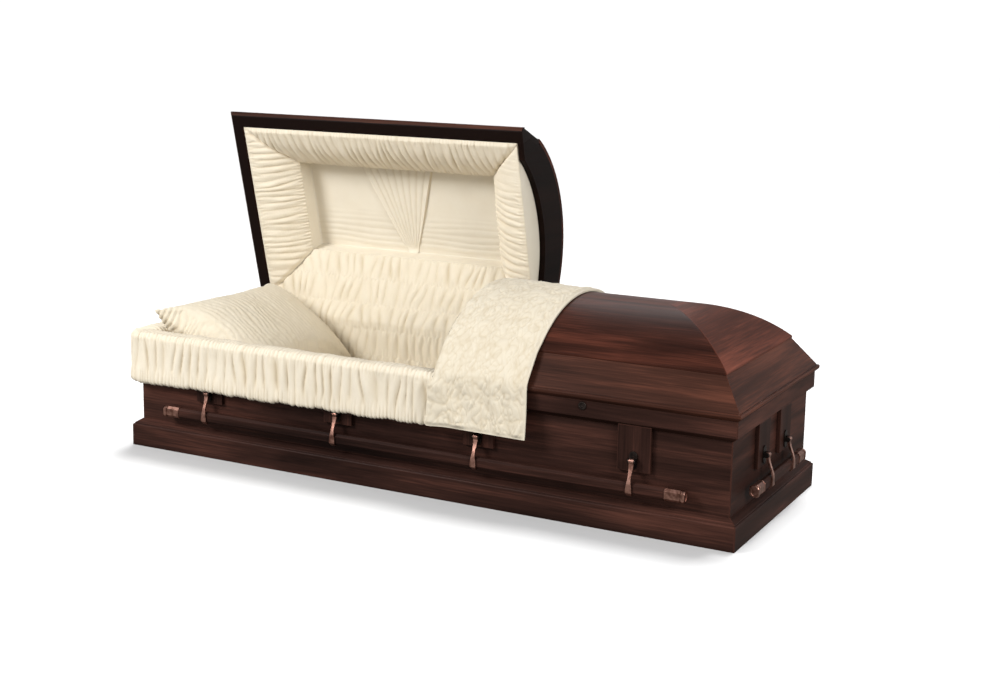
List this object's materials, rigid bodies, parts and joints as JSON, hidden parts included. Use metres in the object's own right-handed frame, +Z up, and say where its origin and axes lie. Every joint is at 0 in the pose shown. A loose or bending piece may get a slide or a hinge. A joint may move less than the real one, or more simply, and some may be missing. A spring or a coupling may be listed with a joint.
{
  "type": "funeral casket",
  "caption": "Half-couch wooden casket with a divided, hinged vaulted lid standing open at the head, swing-bar handles and a gathered cream cloth interior.",
  "frame": {"origin": "centre of the plinth's underside, on the surface the casket stands on", "axes": "+X along the casket towards the foot end, -Y towards the front (the side that the open lid faces), +Z up"},
  "size_m": [2.148, 0.9033, 1.0836],
  "materials": {
    "stained_wood": "satin dark red-brown stain",
    "dark_wood": "satin near-black brown stain",
    "plain_wood": "matt, unpolished underside",
    "copper": "antique brushed copper",
    "hinge_metal": "dull bronze",
    "lock_metal": "dark bronze",
    "crepe_fabric": "matt cream crepe, gathered",
    "bed_fabric": "matt cream crepe"
  },
  "bodies": {
    "casket": {"base_board": "plain_wood", "plinth_front": "stained_wood", "plinth_back": "stained_wood", "plinth_head": "stained_wood", "plinth_foot": "stained_wood", "wall_front": "stained_wood", "wall_back": "stained_wood", "wall_head": "stained_wood", "wall_foot": "stained_wood", "band_front": "stained_wood", "band_back": "stained_wood", "band_head": "stained_wood", "band_foot": "stained_wood", "arm_panels_front": "stained_wood", "arm_panels_back": "stained_wood", "arm_panels_head": "stained_wood", "arm_panels_foot": "stained_wood", "arm_ears_front": "lock_metal", "arm_ears_back": "lock_metal", "arm_ears_head": "lock_metal", "arm_ears_foot": "lock_metal", "hinges_body": "hinge_metal", "lock": "lock_metal", "mattress": "bed_fabric", "pillow": "crepe_fabric", "body_lining": "crepe_fabric", "apron": "crepe_fabric", "skirt_front": "crepe_fabric", "skirt_corner": "crepe_fabric", "skirt_head": "crepe_fabric"},
    "head_lid": {"head_lid_frame": "dark_wood", "head_lid_crown": "stained_wood", "head_lid_hip": "stained_wood", "head_lid_header": "dark_wood", "hinges_head_lid": "hinge_metal", "head_lid_lining": "crepe_fabric"},
    "foot_lid": {"foot_lid_frame": "stained_wood", "foot_lid_crown": "stained_wood", "foot_lid_hip": "stained_wood", "foot_lid_header": "dark_wood", "hinges_foot_lid": "hinge_metal", "foot_lid_lining": "crepe_fabric", "throw": "crepe_fabric", "throw_flap": "crepe_fabric"},
    "handle_front": {"arms_front": "copper", "bar_front": "stained_wood", "bar_tips_front": "copper"},
    "handle_back": {"arms_back": "copper", "bar_back": "stained_wood", "bar_tips_back": "copper"},
    "handle_head": {"arms_head": "copper", "bar_head": "stained_wood", "bar_tips_head": "copper"},
    "handle_foot": {"arms_foot": "copper", "bar_foot": "stained_wood", "bar_tips_foot": "copper"}
  },
  "joints": [
    {"name": "head_lid_hinge", "type": "hinge", "parent": "casket", "child": "head_lid", "pos_m": [-0.463, 0.365, 0.3675], "axis": [-1, 0, 0], "range_deg": [-75.6, 0], "deforming": ["skirt_front", "skirt_corner", "skirt_head", "pillow", "apron"]},
    {"name": "foot_lid_hinge", "type": "hinge", "parent": "casket", "child": "foot_lid", "pos_m": [0.568, 0.365, 0.3675], "axis": [-1, 0, 0], "range_deg": [0, 75.6], "deforming": ["throw_flap"]},
    {"name": "handle_front_swing", "type": "hinge", "parent": "casket", "child": "handle_front", "pos_m": [0, -0.365, 0.213], "axis": [-1, 0, 0], "range_deg": [0, 90]},
    {"name": "handle_back_swing", "type": "hinge", "parent": "casket", "child": "handle_back", "pos_m": [0, 0.365, 0.213], "axis": [1, 0, 0], "range_deg": [0, 90]},
    {"name": "handle_head_swing", "type": "hinge", "parent": "casket", "child": "handle_head", "pos_m": [-1.053, 0, 0.213], "axis": [0, 1, 0], "range_deg": [0, 90]},
    {"name": "handle_foot_swing", "type": "hinge", "parent": "casket", "child": "handle_foot", "pos_m": [1.053, 0, 0.213], "axis": [0, -1, 0], "range_deg": [0, 90]}
  ]
}
